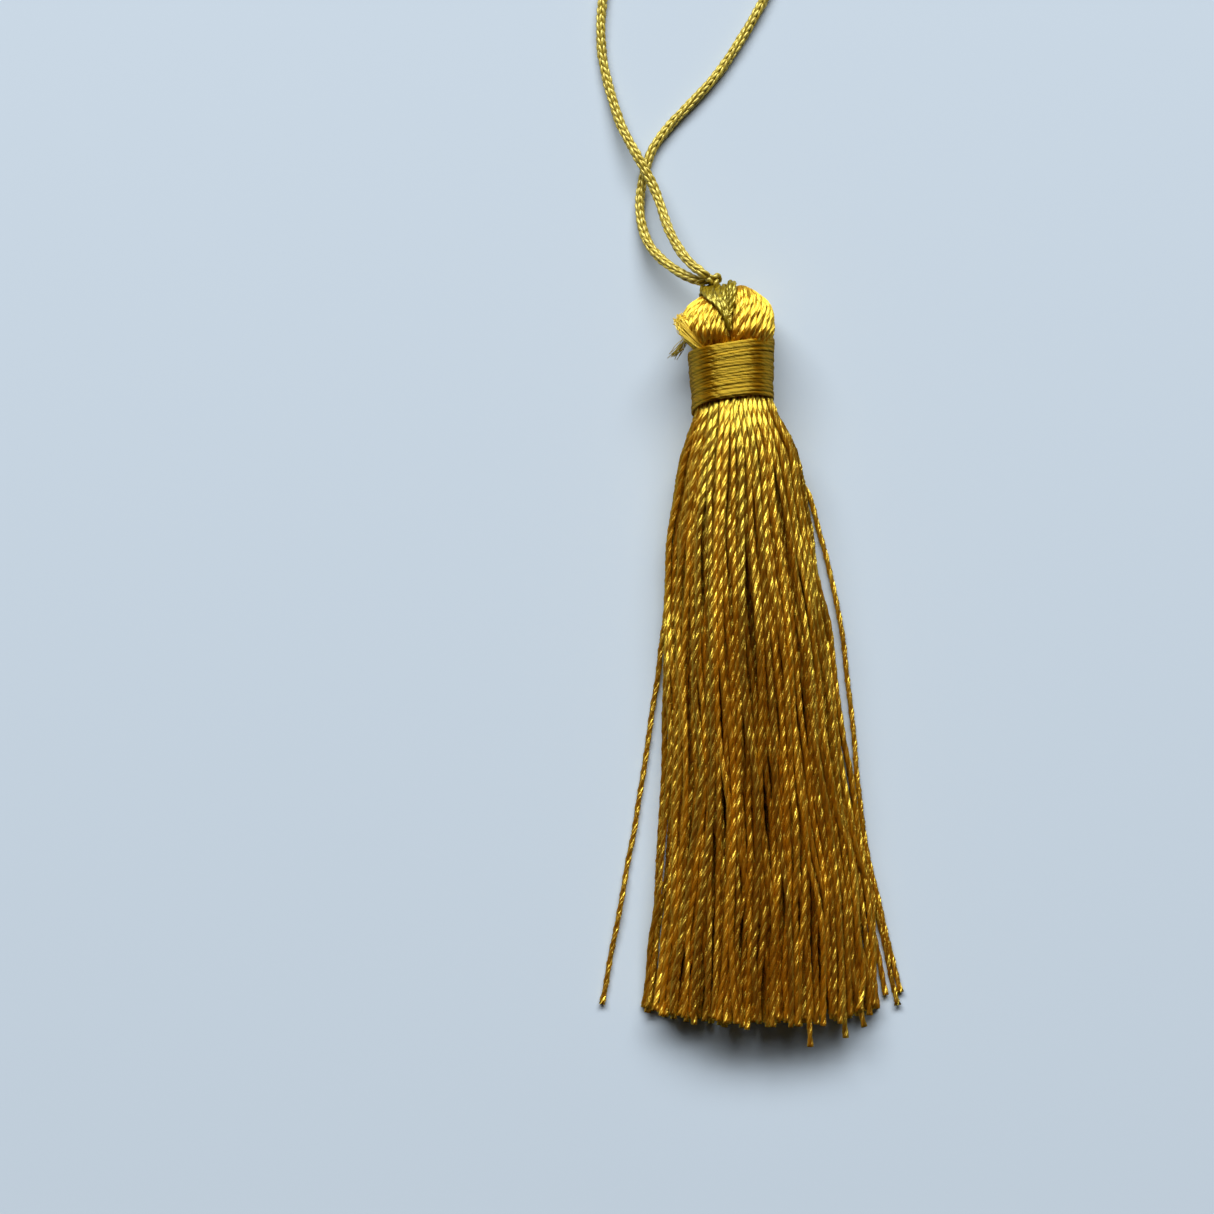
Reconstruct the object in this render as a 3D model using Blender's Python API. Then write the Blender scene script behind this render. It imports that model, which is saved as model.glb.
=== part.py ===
"""Silk tassel, lying on its side with its hanging loop laid out on the same surface.

A hank of twisted yarn is tied at its middle, folded down into two lobes and bound round the neck, and
its trimmed ends fan out as a skirt. A braided cord leaves the tie at a small knot and returns to it.

Frame: metres, +Z up and +Y from the neck towards the loop. The origin is on the resting surface,
under the middle of the neck binding. Sizes below are in millimetres until an object is made.
"""

import math
from collections import namedtuple

import bmesh
import bpy
import numpy as np
from mathutils import Vector
from mathutils.bvhtree import BVHTree
from mathutils.geometry import delaunay_2d_cdt

MM = 0.001
GAP = 0.3

# Neck: the core of squeezed yarn, and the thread wound round it
CORE_RADIUS = 3.6
CORE_HEIGHT = 4.25
CORE_TOP = 3.2
CORE_SIDES = 32
BINDING_TOP = 2.9
BINDING_BOTTOM = -3.3
BINDING_RADIUS_TOP = 4.7
BINDING_RADIUS_BOTTOM = 4.35
BINDING_BORE = 3.95
BINDING_RIDGES = 8
BINDING_RIDGE_DEPTH = 0.12
BINDING_SIDES = 24
BINDING_FLAT = 0.35
BINDING_LEAN_TOP = 0.12
BINDING_LEAN_BOTTOM = 0.18
BINDING_LEAN_Z = 0.05

# Skirt: strands of three sides, settled in each section under their own weight
STRANDS = 150
STRAND_SIDES = 3
STRAND_SPACING = 1.85
ROOT_REACH = 3.15
SETTLE_PASSES = 160
TRIM_MIDDLE = -69.7
TRIM_RISE = 1.0
TRIM_UNEVEN = 0.35
SkirtSection = namedtuple("SkirtSection", "y left right low high flat strand_radius")
SKIRT = (
    SkirtSection(-2.4, -3.35, 3.35, 0.90, 7.60, 0.0, 0.19),
    SkirtSection(-4.3, -3.65, 3.85, 0.50, 8.10, 0.1, 0.20),
    SkirtSection(-6.2, -4.70, 5.80, 0.10, 9.00, 0.3, 0.24),
    SkirtSection(-9.5, -5.80, 7.40, 0.00, 9.70, 0.6, 0.29),
    SkirtSection(-17.0, -6.90, 9.50, 0.00, 10.0, 0.9, 0.33),
    SkirtSection(-28.0, -7.60, 10.9, 0.00, 9.20, 1.0, 0.35),
    SkirtSection(-42.0, -7.70, 13.1, 0.00, 7.90, 1.0, 0.35),
    SkirtSection(-56.0, -8.40, 15.5, 0.00, 6.90, 1.0, 0.35),
    SkirtSection(-69.5, -9.90, 16.3, 0.00, 6.20, 1.0, 0.35),
)
# Strands that have strayed onto the surface beside the skirt, outermost first on each side
Stray = namedtuple("Stray", "side leaves_at tip_x tip_y bend")
STRAYS = (
    Stray(-1, -28.0, -14.1, -68.1, 1.4),
    Stray(1, -17.0, 18.6, -67.3, 1.1),
    Stray(1, -42.0, 17.8, -68.7, 1.2),
    Stray(1, -42.0, 16.9, -67.6, 1.2),
)
# Strands that the trim left long
LongEnd = namedtuple("LongEnd", "x tip_y")
LONG_ENDS = (LongEnd(8.2, -72.0), LongEnd(12.3, -71.2), LongEnd(14.2, -70.2))

# Head: two lobes, each turned about an upright line at the bottom of the cleft. A section is given
# by how far it has turned from the tie towards the neck, and by its inner and outer reach.
PIVOT_X = -0.4
PIVOT_Y = 3.75
HEAD_HEIGHT = 4.35
LOBE_POINTS = 28
LOBE_RIDGE = 0.09
LOBE_SQUARENESS = 2.5
LobeSection = namedtuple("LobeSection", "turn inner outer half_height")
RIGHT_LOBE = (
    LobeSection(-7, 1.45, 4.60, 3.2),
    LobeSection(8, 1.20, 5.20, 3.5),
    LobeSection(20, 0.75, 5.60, 4.0),
    LobeSection(35, 0.40, 5.75, 4.3),
    LobeSection(50, 0.20, 5.60, 4.4),
    LobeSection(65, 0.10, 5.25, 4.4),
    LobeSection(77, 0.06, 4.95, 4.3),
    LobeSection(84, 0.05, 4.60, 4.1),
    LobeSection(91, 0.05, 3.95, 3.6),
)
LEFT_LOBE = (
    LobeSection(-7, 1.45, 4.60, 3.2),
    LobeSection(14, 1.00, 4.50, 3.3),
    LobeSection(26, 0.60, 4.95, 3.8),
    LobeSection(42, 0.30, 5.45, 4.3),
    LobeSection(58, 0.15, 5.75, 4.4),
    LobeSection(74, 0.06, 5.45, 4.4),
    LobeSection(86, 0.05, 5.10, 4.2),
    LobeSection(95, 0.05, 4.70, 4.0),
    LobeSection(103, 0.05, 3.45, 3.5),
)

# Tie: the threads that hold the hank's middle, lying over the head from front cleft to back cleft
TIE_MIDDLE_Y = 6.95
TIE_THICKNESS = 0.45
TIE_RIDGES = 5
TIE_RIDGE_DEPTH = 0.1
TIE_STEP_DEG = 8
TIE_CLEARS = 0.2
TieEdge = namedtuple("TieEdge", "angle left right")
TIE_EDGES = (
    TieEdge(-38, -0.62, -0.22),
    TieEdge(-22, -1.00, -0.15),
    TieEdge(0, -1.65, 0.05),
    TieEdge(18, -2.50, 0.20),
    TieEdge(45, -3.20, 0.35),
    TieEdge(90, -3.30, 0.40),
)

# Knot at the top of the tie, and the cord's route from it and back to it
KNOT_MIDDLE = (-1.95, 10.0, 5.0)
KNOT_RADII = (0.9, 0.75, 1.35)
CORD_RADIUS = 0.55
CORD_POINT_SPACING = 2.6
CORD_ROUTE = (
    (-3.25, 10.55, 5.75),
    (-4.40, 11.45, 5.30),
    (-5.65, 13.10, 4.50),
    (-6.85, 15.50, 3.40),
    (-7.70, 18.20, 2.50),
    (-8.50, 20.40, 2.05),
    (-9.45, 22.30, 2.00),
    (-10.4, 24.00, 1.95),
    (-12.0, 27.20, 1.30),
    (-13.1, 30.70, 0.75),
    (-13.9, 34.00, 0.55),
    (-14.2, 37.00, 0.55),
    (-14.1, 40.00, 0.55),
    (-13.5, 44.00, 0.55),
    (-12.2, 48.00, 0.55),
    (-9.80, 51.60, 0.55),
    (-6.20, 54.20, 0.55),
    (-1.80, 54.90, 0.55),
    (2.00, 53.30, 0.55),
    (4.50, 50.10, 0.55),
    (5.20, 46.30, 0.55),
    (4.40, 42.90, 0.55),
    (3.00, 39.95, 0.55),
    (0.90, 36.40, 0.55),
    (-1.50, 32.90, 0.55),
    (-4.10, 30.00, 0.55),
    (-6.60, 27.40, 0.55),
    (-8.40, 25.00, 0.55),
    (-9.20, 23.00, 0.55),
    (-9.70, 21.00, 0.55),
    (-9.95, 18.60, 0.60),
    (-9.70, 16.20, 0.95),
    (-8.90, 14.05, 1.70),
    (-7.50, 12.30, 2.80),
    (-5.80, 10.90, 3.80),
    (-4.20, 10.05, 4.30),
    (-3.25, 9.80, 4.35),
)

YARN_COLOUR = (0.72, 0.42, 0.03)
THREAD_COLOUR = (0.42, 0.27, 0.03)
CORD_COLOUR = (0.50, 0.36, 0.05)
SILK_ROUGHNESS = 0.35


def clear_scene():
    for obj in list(bpy.data.objects):
        bpy.data.objects.remove(obj)


def silk(name, colour):
    material = bpy.data.materials.new(name)
    material.use_nodes = True
    shader = material.node_tree.nodes["Principled BSDF"]
    shader.inputs["Base Color"].default_value = (*colour, 1.0)
    shader.inputs["Roughness"].default_value = SILK_ROUGHNESS
    shader.inputs["Metallic"].default_value = 0.0
    return material


def add_mesh(name, points, faces, material=None):
    """An object of that mesh, with points in millimetres and its faces turned outwards."""
    mesh = bpy.data.meshes.new(name)
    mesh.from_pydata([tuple(float(c) * MM for c in p) for p in points], [], faces)
    work = bmesh.new()
    work.from_mesh(mesh)
    bmesh.ops.recalc_face_normals(work, faces=work.faces)
    work.to_mesh(mesh)
    work.free()
    if material:
        mesh.materials.append(material)
    obj = bpy.data.objects.new(name, mesh)
    bpy.context.scene.collection.objects.link(obj)
    return obj


def smooth(obj, sharp_angle=40):
    obj.data.shade_smooth()
    obj.data.set_sharp_from_angle(angle=math.radians(sharp_angle))


def loft(rings, closed=False):
    """Points and faces of a skin over rings with equally many points, capped unless it closes on itself."""
    count = len(rings[0])
    points = [p for ring in rings for p in ring]
    spans = len(rings) if closed else len(rings) - 1
    faces = []
    for i in range(spans):
        here, there = i * count, (i + 1) % len(rings) * count
        for j in range(count):
            k = (j + 1) % count
            faces.append((here + j, here + k, there + k, there + j))
    if not closed:
        faces.append(tuple(range(count)))
        faces.append(tuple(range(len(points) - count, len(points))))
    return points, faces


def skirt_layout():
    """Where each strand starts in the unit disc: a sunflower spiral, which spaces any number evenly."""
    turn = math.pi * (3 - math.sqrt(5))
    number = np.arange(STRANDS)
    reach = np.sqrt((number + 0.5) / STRANDS)
    return np.column_stack((reach * np.cos(number * turn), reach * np.sin(number * turn)))


def skirt_top(section, x):
    """Height of the skirt's outline over x in one section."""
    middle, half = (section.left + section.right) / 2, (section.right - section.left) / 2
    share = np.sqrt(np.clip(1 - ((x - middle) / half) ** 2, 0, 1))
    lift = section.flat * share + (1 - section.flat)
    return section.low + (section.high - section.low) / 2 * (share + lift)


def placed(section, layout):
    """The layout stretched over one section, with its underside pressed flat by the section's share."""
    middle, half = (section.left + section.right) / 2, (section.right - section.left) / 2
    share = np.sqrt(1 - layout[:, 0] ** 2)
    lift = section.flat * share + (1 - section.flat)
    height = section.low + (section.high - section.low) / 2 * (layout[:, 1] + lift)
    return np.column_stack((middle + half * layout[:, 0], height))


def settled(section, places):
    """Strand centres pushed apart to the strand's spacing, within the outline and on the surface."""
    spacing = STRAND_SPACING * section.strand_radius
    resting = section.low + section.strand_radius / 2
    for _ in range(SETTLE_PASSES):
        away = places[:, None] - places[None]
        distance = np.linalg.norm(away, axis=2) + np.eye(len(places)) * 9 + 1e-6
        push = np.clip(spacing - distance, 0, None) / distance
        places = places + 0.4 * (away * push[:, :, None]).sum(axis=1)
        x = np.clip(
            places[:, 0], section.left + section.strand_radius, section.right - section.strand_radius
        )
        top = np.maximum(skirt_top(section, x) - section.strand_radius, resting)
        places = np.column_stack((x, np.clip(places[:, 1], resting, top)))
    return places


def stray_rows(places_by_section):
    """For each stray, the number of the strand that it is: the outermost one low down where it leaves."""
    taken = []
    for stray in STRAYS:
        row = next(i for i, section in enumerate(SKIRT) if section.y == stray.leaves_at)
        places = places_by_section[row]
        outward = stray.side * places[:, 0] - 1.5 * places[:, 1]
        outward[taken] = -np.inf
        taken.append(int(outward.argmax()))
    return taken


def skirt_paths():
    """The centre points of every strand, one row for each section, as an array of x, y and height."""
    layout = skirt_layout()
    rows = [placed(SKIRT[0], layout * ROOT_REACH / SKIRT[0].right)]
    for before, section in zip(SKIRT, SKIRT[1:]):
        grown = placed(section, layout)
        rows.append(settled(section, grown))
    strays = stray_rows(rows)
    for number, stray in zip(strays, STRAYS):
        start_row = next(i for i, section in enumerate(SKIRT) if section.y == stray.leaves_at)
        start = rows[start_row][number].copy()
        for row in range(start_row + 1, len(SKIRT)):
            share = (stray.leaves_at - SKIRT[row].y) / (stray.leaves_at - stray.tip_y)
            share = min(share, 1.0)
            rows[row][number, 0] = start[0] + (stray.tip_x - start[0]) * share**stray.bend
            rows[row][number, 1] = SKIRT[row].strand_radius / 2
    paths = np.zeros((STRANDS, len(SKIRT), 3))
    for row, (section, places) in enumerate(zip(SKIRT, rows)):
        paths[:, row, 0] = places[:, 0]
        paths[:, row, 1] = section.y
        paths[:, row, 2] = places[:, 1]
    trim_ends(paths, strays)
    return paths


def trim_ends(paths, strays):
    """Cuts the strands to an uneven, slightly bowed line, apart from the strays and the long ends."""
    chance = np.random.default_rng(7)
    middle, half = (SKIRT[-1].left + SKIRT[-1].right) / 2, (SKIRT[-1].right - SKIRT[-1].left) / 2
    across = (paths[:, -1, 0] - middle) / half
    uneven = chance.uniform(-TRIM_UNEVEN, TRIM_UNEVEN, STRANDS)
    paths[:, -1, 1] = TRIM_MIDDLE + TRIM_RISE * across**2 + uneven
    for number, stray in zip(strays, STRAYS):
        paths[number, -1, 1] = stray.tip_y
    for end in LONG_ENDS:
        nearness = np.abs(paths[:, -1, 0] - end.x) - 0.3 * paths[:, -1, 2]
        nearness[strays] = np.inf
        paths[int(nearness.argmin()), -1, 1] = end.tip_y


def strand_ring(centre, radius):
    """One cross-section of a strand, with a flat side down."""
    angles = [math.pi / 2 + 2 * math.pi * k / STRAND_SIDES for k in range(STRAND_SIDES)]
    return [
        (centre[0] + radius * math.cos(a), centre[1], centre[2] + radius * math.sin(a)) for a in angles
    ]


def core_ring(y):
    angles = [2 * math.pi * k / CORE_SIDES for k in range(CORE_SIDES)]
    return [
        (CORE_RADIUS * math.cos(a), y, CORE_HEIGHT + CORE_RADIUS * math.sin(a)) for a in angles
    ]


def yarn_body_mesh():
    """The neck's core with every strand drawn out of its lower end, as one skin."""
    paths = skirt_paths()
    root_y = SKIRT[0].y
    roots = [strand_ring(path[0], SKIRT[0].strand_radius) for path in paths]
    points = core_ring(root_y) + [p for ring in roots for p in ring]
    flat = [Vector((p[0], p[2])) for p in points]
    first = [CORE_SIDES + STRAND_SIDES * n for n in range(STRANDS)]
    outlines = [list(range(CORE_SIDES))]
    outlines += [list(range(start, start + STRAND_SIDES)) for start in first]
    made = delaunay_2d_cdt(flat, [], outlines, 0, 1e-6)
    places, triangles, owners = made[0], made[2], made[5]
    points = [(p.x, root_y, p.y) for p in places]
    number_of = {old: new for new, olds in enumerate(made[3]) for old in olds}
    faces = [tri for tri, owner in zip(triangles, owners) if max(owner, default=0) == 0]
    for start, path in zip(first, paths):
        ring = [number_of[start + k] for k in range(STRAND_SIDES)]
        for centre, section in zip(path[1:], SKIRT[1:]):
            following = list(range(len(points), len(points) + STRAND_SIDES))
            points += strand_ring(centre, section.strand_radius)
            for k in range(STRAND_SIDES):
                n = (k + 1) % STRAND_SIDES
                faces.append((ring[k], ring[n], following[n], following[k]))
            ring = following
        faces.append(tuple(ring))
    rim = [number_of[k] for k in range(CORE_SIDES)]
    top = list(range(len(points), len(points) + CORE_SIDES))
    points += core_ring(CORE_TOP)
    for k in range(CORE_SIDES):
        n = (k + 1) % CORE_SIDES
        faces.append((top[k], top[n], rim[n], rim[k]))
    faces.append(tuple(reversed(top)))
    return points, faces


def lobe_ring(section, side):
    """One cross-section of a lobe: a squared-off ellipse with a ridge for every second point."""
    turn = math.radians(section.turn)
    middle, half = (section.inner + section.outer) / 2, (section.outer - section.inner) / 2
    ring = []
    for k in range(LOBE_POINTS):
        a = 2 * math.pi * k / LOBE_POINTS
        ridge = LOBE_RIDGE * (1 if k % 2 else -1)
        power = 2 / LOBE_SQUARENESS
        across = math.copysign(abs(math.cos(a)) ** power, math.cos(a))
        up = math.copysign(abs(math.sin(a)) ** power, math.sin(a))
        reach = middle + half * across + (ridge * across if section.inner > 1 or across > 0 else 0)
        height = HEAD_HEIGHT + (section.half_height + ridge) * up
        x = PIVOT_X + side * reach * math.sin(turn)
        ring.append((x, PIVOT_Y + reach * math.cos(turn), max(height, 0.0)))
    return ring


def add_lobe(name, sections, side):
    points, faces = loft([lobe_ring(section, side) for section in sections])
    lobe = add_mesh(name, points, faces)
    lobe.hide_render = True
    lobe.display_type = "WIRE"
    return lobe


def add_yarn_body(material):
    points, faces = yarn_body_mesh()
    body = add_mesh("yarn_body", points, faces, material)
    lobes = [add_lobe("right_lobe", RIGHT_LOBE, 1), add_lobe("left_lobe", LEFT_LOBE, -1)]
    for lobe in lobes:
        union = body.modifiers.new(lobe.name, "BOOLEAN")
        union.operation = "UNION"
        union.object = lobe
    return body, lobes


def binding_ring(share, radius, middle_x, rises):
    """One ring of the neck binding, share of the way down; rises is the height of its middle."""
    y = BINDING_TOP + (BINDING_BOTTOM - BINDING_TOP) * share
    lean = BINDING_LEAN_TOP + (BINDING_LEAN_BOTTOM - BINDING_LEAN_TOP) * share
    ring = []
    for k in range(BINDING_SIDES):
        a = 2 * math.pi * k / BINDING_SIDES
        x = middle_x + radius * math.cos(a)
        z = max(rises + radius * math.sin(a), 0.0)
        ring.append((x, y + lean * x + BINDING_LEAN_Z * (z - CORE_HEIGHT), z))
    return ring


def add_neck_binding(material):
    """A wound sleeve round the neck, tapering towards the skirt and flat where it lies."""
    steps = 2 * BINDING_RIDGES
    outside = []
    for i in range(steps + 1):
        share = i / steps
        radius = BINDING_RADIUS_TOP + (BINDING_RADIUS_BOTTOM - BINDING_RADIUS_TOP) * share
        middle_x = -0.2 * (1 - share)
        rises = radius - BINDING_FLAT
        depth = 0.0 if i % 2 else BINDING_RIDGE_DEPTH
        outside.append(binding_ring(share, radius - depth, middle_x, rises))
    inside = [binding_ring(share, BINDING_BORE, 0.0, CORE_HEIGHT) for share in (1, 0)]
    points, faces = loft(outside + inside, closed=True)
    smooth(add_mesh("neck_binding", points, faces, material))


def tie_edges(angle):
    """The tie's left and right edge at an angle; its back is a mirror of its front."""
    front = 180 - angle if angle > 90 else angle
    angles = [edge.angle for edge in TIE_EDGES]
    left = np.interp(front, angles, [edge.left for edge in TIE_EDGES])
    right = np.interp(front, angles, [edge.right for edge in TIE_EDGES])
    return left, right


def add_crown_tie(lobes, material):
    """A strap of ridged threads laid a gap above the lobes' own surface."""
    graph = bpy.context.evaluated_depsgraph_get()
    trees = [BVHTree.FromObject(lobe, graph) for lobe in lobes]
    across = 2 * TIE_RIDGES + 1
    far = 20.0
    first = TIE_EDGES[0].angle
    angles = np.linspace(first, 180 - first, 2 + int((180 - 2 * first) / TIE_STEP_DEG))

    def head_reach(x, direction):
        origin = Vector((x, TIE_MIDDLE_Y, HEAD_HEIGHT)) + direction * far
        found = [tree.ray_cast(origin * MM, -direction) for tree in trees]
        return max(far - hit[3] / MM for hit in found if hit[0] is not None)

    rings = []
    for angle in angles:
        turn = math.radians(angle)
        direction = Vector((0, math.sin(turn), math.cos(turn)))
        left, right = tie_edges(angle)
        spots = np.linspace(left, right, across)
        beside = (-TIE_CLEARS, 0.0, TIE_CLEARS)
        low = [GAP + max(head_reach(x + shift, direction) for shift in beside) for x in spots]
        ridges = [TIE_RIDGE_DEPTH if j % 2 else 0.0 for j in range(across)]
        ends = [0.55 if j in (0, across - 1) else 1.0 for j in range(across)]
        high = [r + TIE_THICKNESS * e + ridge for r, e, ridge in zip(low, ends, ridges)]
        middle = Vector((0, TIE_MIDDLE_Y, HEAD_HEIGHT))
        outer = [middle + direction * h + Vector((x, 0, 0)) for x, h in zip(spots, high)]
        for spot in outer:
            spot.z = max(spot.z, 0.0)
        inner = [middle + direction * h + Vector((x, 0, 0)) for x, h in zip(spots, low)]
        rings.append(outer + inner[::-1])
    points, faces = loft(rings)
    smooth(add_mesh("crown_tie", points, faces, material))


def add_cord_knot(material):
    work = bmesh.new()
    bmesh.ops.create_uvsphere(work, u_segments=14, v_segments=9, radius=1.0)
    for vertex in work.verts:
        lump = 1 + 0.07 * math.sin(5 * math.atan2(vertex.co.y, vertex.co.x) + 6 * vertex.co.z)
        vertex.co = Vector([c * r * lump for c, r in zip(vertex.co, KNOT_RADII)]) * MM
    mesh = bpy.data.meshes.new("cord_knot")
    work.to_mesh(mesh)
    work.free()
    mesh.materials.append(material)
    knot = bpy.data.objects.new("cord_knot", mesh)
    knot.location = Vector(KNOT_MIDDLE) * MM
    bpy.context.scene.collection.objects.link(knot)
    smooth(knot, 60)


def spline_through(route, spacing):
    """Points about spacing apart along a smooth curve through the route (Catmull-Rom)."""
    route = np.array(route)
    padded = np.vstack((2 * route[0] - route[1], route, 2 * route[-1] - route[-2]))
    fine = []
    for a, b, c, d in zip(padded, padded[1:], padded[2:], padded[3:]):
        for t in np.linspace(0, 1, 20, endpoint=False):
            fine.append(
                0.5 * (2 * b + (c - a) * t + (2 * a - 5 * b + 4 * c - d) * t**2 + (3 * b - a - 3 * c + d) * t**3)
            )
    fine = np.array(fine + [route[-1]])
    along = np.concatenate(([0], np.cumsum(np.linalg.norm(np.diff(fine, axis=0), axis=1))))
    at = np.linspace(0, along[-1], 1 + round(along[-1] / spacing))
    return np.column_stack([np.interp(at, along, fine[:, k]) for k in range(3)])


def add_hanging_cord(material):
    line = spline_through(CORD_ROUTE, CORD_POINT_SPACING)
    curve = bpy.data.curves.new("hanging_cord", "CURVE")
    curve.dimensions = "3D"
    curve.bevel_depth = CORD_RADIUS * MM
    curve.bevel_resolution = 2
    curve.use_fill_caps = True
    spline = curve.splines.new("POLY")
    spline.points.add(len(line) - 1)
    for point, place in zip(spline.points, line):
        point.co = (*(place * MM), 1.0)
    curve.materials.append(material)
    cord = bpy.data.objects.new("hanging_cord", curve)
    bpy.context.scene.collection.objects.link(cord)


def main():
    clear_scene()
    yarn = silk("yarn_silk", YARN_COLOUR)
    thread = silk("thread_silk", THREAD_COLOUR)
    cord = silk("cord_silk", CORD_COLOUR)
    _, lobes = add_yarn_body(yarn)
    bpy.context.view_layer.update()
    add_neck_binding(thread)
    add_crown_tie(lobes, thread)
    add_cord_knot(cord)
    add_hanging_cord(cord)


main()
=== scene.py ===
"""Looks of a silk tassel that lies on a pale surface with its hanging loop laid out.

Every yarn of the skirt and head is a twisted two-ply strand, the neck binding is wound from fine thread,
and the hanging cord is knitted in small V stitches. Sizes are in millimetres until a mesh is made, but
those of the floor and the lights are in metres.
"""

import math
from collections import namedtuple

import bpy
import numpy as np
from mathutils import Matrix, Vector
from mathutils.bvhtree import BVHTree


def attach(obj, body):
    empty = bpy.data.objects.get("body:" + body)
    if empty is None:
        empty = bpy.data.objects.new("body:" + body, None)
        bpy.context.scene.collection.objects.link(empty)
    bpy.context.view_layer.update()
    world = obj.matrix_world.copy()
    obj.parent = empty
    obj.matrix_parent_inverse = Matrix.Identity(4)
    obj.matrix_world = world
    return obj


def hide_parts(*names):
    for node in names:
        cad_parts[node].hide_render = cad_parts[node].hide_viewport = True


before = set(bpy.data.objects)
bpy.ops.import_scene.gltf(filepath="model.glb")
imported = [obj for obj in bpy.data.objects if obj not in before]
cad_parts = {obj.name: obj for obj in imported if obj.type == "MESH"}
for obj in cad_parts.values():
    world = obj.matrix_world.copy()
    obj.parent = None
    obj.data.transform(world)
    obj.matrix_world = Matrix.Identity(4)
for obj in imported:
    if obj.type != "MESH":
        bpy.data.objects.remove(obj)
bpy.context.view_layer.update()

MM = 0.001
UP = (0.0, 0.0, 1.0)
GOLDEN_TURN = math.pi * (3 - math.sqrt(5))

# Tubes: steps between two points of a line, where twists start, and the length of one texture unit
LINE_STEPS = 12
TWIST_START = (0.0, 6.28)
TEXTURE_LENGTH = 10

# Seeds of the random draws
CORD_SEED = 23
STITCH_SEED = 17
SKIRT_SEED = 21
TRIM_SEED = 5
YARN_SEED = 9
HEAD_SEED = 14
NECK_SEED = 6
TIE_SEED = 3
BINDING_SEED = 11
FRAY_SEED = 31

# Photo: its pixel frame, its scale, and the object's origin in it
PHOTO_PIXELS = 1214
PHOTO_ORIGIN = (733, 372)
MM_PER_PIXEL = 0.1074
SCALE_HEIGHT = 5.0
CAMERA_HEIGHT = 280.0
SENSOR_MM = 36.0
CAMERA_CLIP = 0.01

# Hanging cord: the route that the solids follow, its core and its knitted stitches
CORD_TUCK = 0.7
CORD_ROUTE = (
    (-3.25, 10.55, 5.75),
    (-4.40, 11.45, 5.30),
    (-5.65, 13.10, 4.50),
    (-6.85, 15.50, 3.40),
    (-7.70, 18.20, 2.50),
    (-8.50, 20.40, 2.05),
    (-9.45, 22.30, 2.00),
    (-10.4, 24.00, 1.95),
    (-12.0, 27.20, 1.30),
    (-13.1, 30.70, 0.75),
    (-13.9, 34.00, 0.55),
    (-14.2, 37.00, 0.55),
    (-14.1, 40.00, 0.55),
    (-13.5, 44.00, 0.55),
    (-12.2, 48.00, 0.55),
    (-9.80, 51.60, 0.55),
    (-6.20, 54.20, 0.55),
    (-1.80, 54.90, 0.55),
    (2.00, 53.30, 0.55),
    (4.50, 50.10, 0.55),
    (5.20, 46.30, 0.55),
    (4.40, 42.90, 0.55),
    (3.00, 39.95, 0.55),
    (0.90, 36.40, 0.55),
    (-1.50, 32.90, 0.55),
    (-4.10, 30.00, 0.55),
    (-6.60, 27.40, 0.55),
    (-8.40, 25.00, 0.55),
    (-9.20, 23.00, 0.55),
    (-9.70, 21.00, 0.55),
    (-9.95, 18.60, 0.60),
    (-9.70, 16.20, 0.95),
    (-8.90, 14.05, 1.70),
    (-7.50, 12.30, 2.80),
    (-5.80, 10.90, 3.80),
    (-4.20, 10.05, 4.30),
    (-3.25, 9.80, 4.35),
)
CORD_STEP = 0.4
PATH_STEP = 1.0
CORD_HEART = 0.36
CORD_HEART_SIDES = 8
KNIT_COLUMNS = 3
KNIT_TWIST = 26.0
KNIT_PITCH = 0.84
STITCH_LENGTH = 1.35
STITCH_FAR = 0.86
STITCH_NEAR = 0.20
STITCH_DEPTH = 0.30
STITCH_RISE = 0.11
STITCH_HALF_WIDTH = 0.19
STITCH_FLATNESS = 0.8
STITCH_ENDS = 0.35
STITCH_SHIFT = 0.12
STITCH_LEAN_SCATTER = 0.04
STITCH_DEPTH_SCATTER = 0.008
STITCH_END_CREST = 0.25
STITCH_SIDE_CREST = 0.6
STITCH_RINGS = 8
STITCH_SIDES = 6
FIRST_STITCH = 0.05

# Knot at the top of the tie
KNOT_MIDDLE = (-2.1, 9.85, 5.0)
KNOT_SCALE = (0.24, 0.21, 0.6)
KNOT_THREAD = 0.31
KNOT_TONE = 0.6
KNOT_PITCH = 1.5
KNOT_RINGS = 91
KNOT_SIDES = 10
THREAD_GROOVE = 0.4

# Skirt
YARNS = 212
YARN_PITCH = (3.3, 3.9)
YARN_GROOVE = 0.20
YARN_WIDTH = (0.93, 1.08)
YARN_SPACING = 1.92
ROOT_REACH = 0.97
SKIRT_ROWS = 18
UPPER_ROWS = 4
UPPER_ROWS_END = -9.5
LOWER_ROWS_START = -13.0
ROOT_PASSES = 160
SETTLE_PASSES = 16
SETTLE_STEP = 0.3
OWN_DISTANCE = 9
BUNCH_WIDTH = 2.7
BUNCH_REACH = 0.12
BUNCH_GROWS_OVER = 16
BUNCH_LEAN = 0.013
BUNCH_SWAY = 0.5
BUNCH_SWAY_LENGTH = 9
TRIM_MIDDLE = -69.9
TRIM_RISE = 1.1
TRIM_UNEVEN = 0.55
TIP_LENGTH = 0.9
TIP_FLARE = 0.20
SkirtSection = namedtuple("SkirtSection", "y left right low high flat yarn_radius")
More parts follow.
